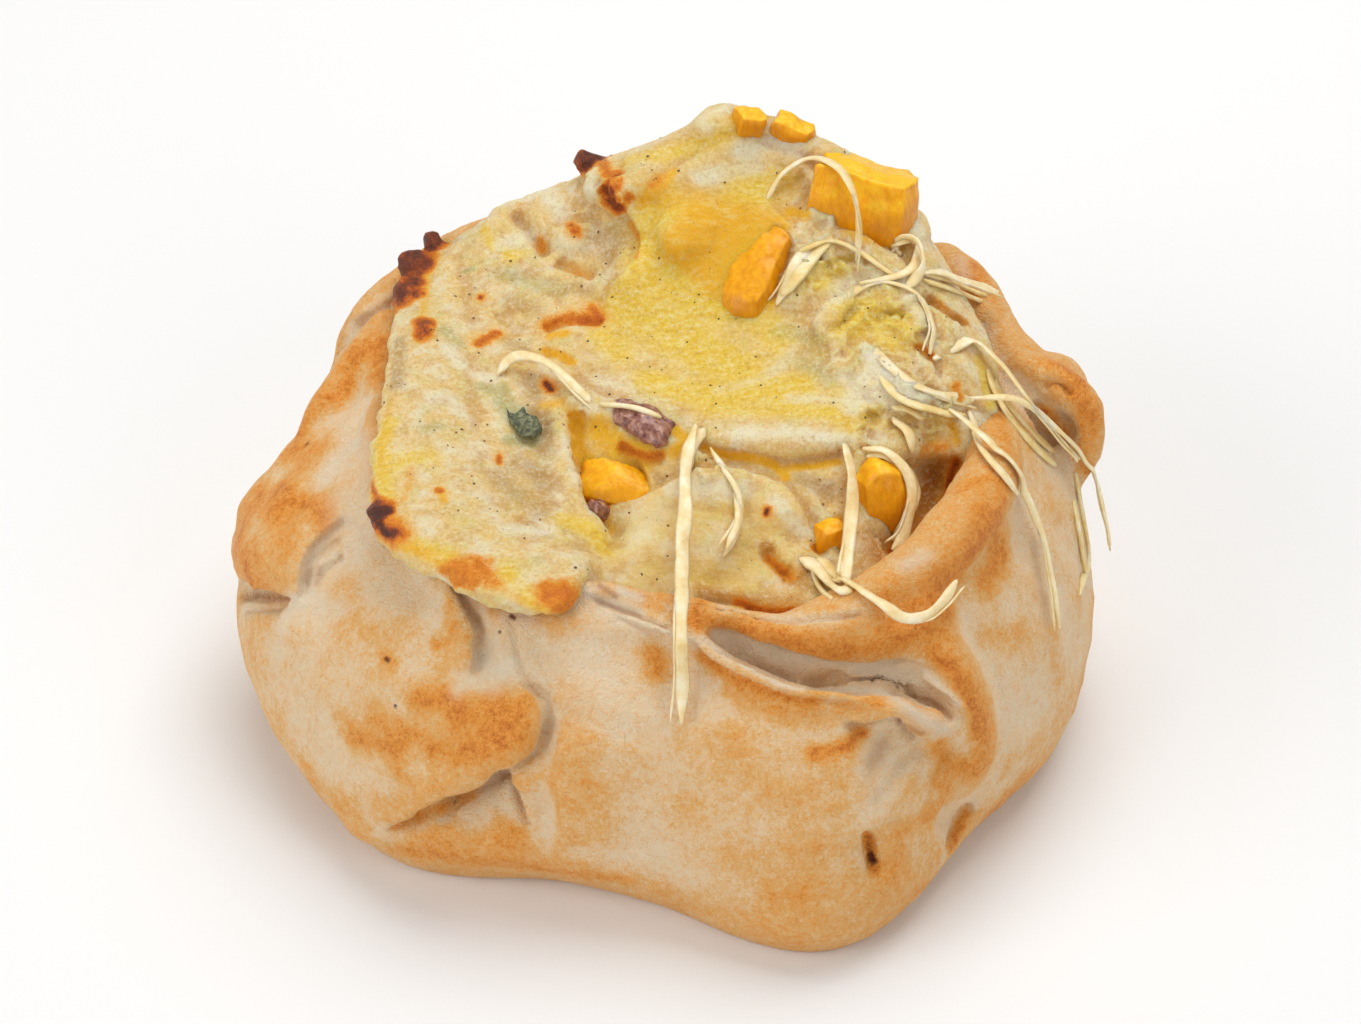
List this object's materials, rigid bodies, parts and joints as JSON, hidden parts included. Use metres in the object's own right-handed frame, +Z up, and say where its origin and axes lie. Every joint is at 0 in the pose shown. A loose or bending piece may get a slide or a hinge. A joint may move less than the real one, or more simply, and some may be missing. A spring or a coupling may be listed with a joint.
{
  "type": "corn empanada",
  "caption": "Baked open-top corn empanada: a dough case pinched into corners, heaped with creamy filling under melted cheese, with squash pieces and cheese shreds.",
  "frame": {"origin": "centre of the bounding box in plan, at the flat underside", "axes": "+Z up; -Y is the front seen in the picture, with the low lip between the two front corners; +X to its right"},
  "size_m": [0.0922, 0.0844, 0.056],
  "materials": {
    "pastry_case": "baked dough, pale cream browned on the raised folds",
    "filling": "moist melted cheese over creamy corn filling",
    "squash_top": "cooked orange squash, moist",
    "squash_slope": "cooked orange squash, moist",
    "squash_right": "cooked orange squash, moist",
    "squash_front": "cooked orange squash, moist",
    "squash_low": "cooked orange squash, moist",
    "squash_ridge_left": "cooked orange squash, moist",
    "squash_ridge_right": "cooked orange squash, moist",
    "onion_piece": "browned red onion, glossy",
    "onion_bit": "browned red onion, glossy",
    "herb_leaf": "cooked dark green herb"
  },
  "bodies": {
    "root": {"pastry_case": "pastry_case", "filling": "filling", "squash_top": "squash_top", "squash_slope": "squash_slope", "squash_right": "squash_right", "squash_front": "squash_front", "squash_low": "squash_low", "squash_ridge_left": "squash_ridge_left", "squash_ridge_right": "squash_ridge_right", "onion_piece": "onion_piece", "onion_bit": "onion_bit", "herb_leaf": "herb_leaf"}
  },
  "joints": []
}
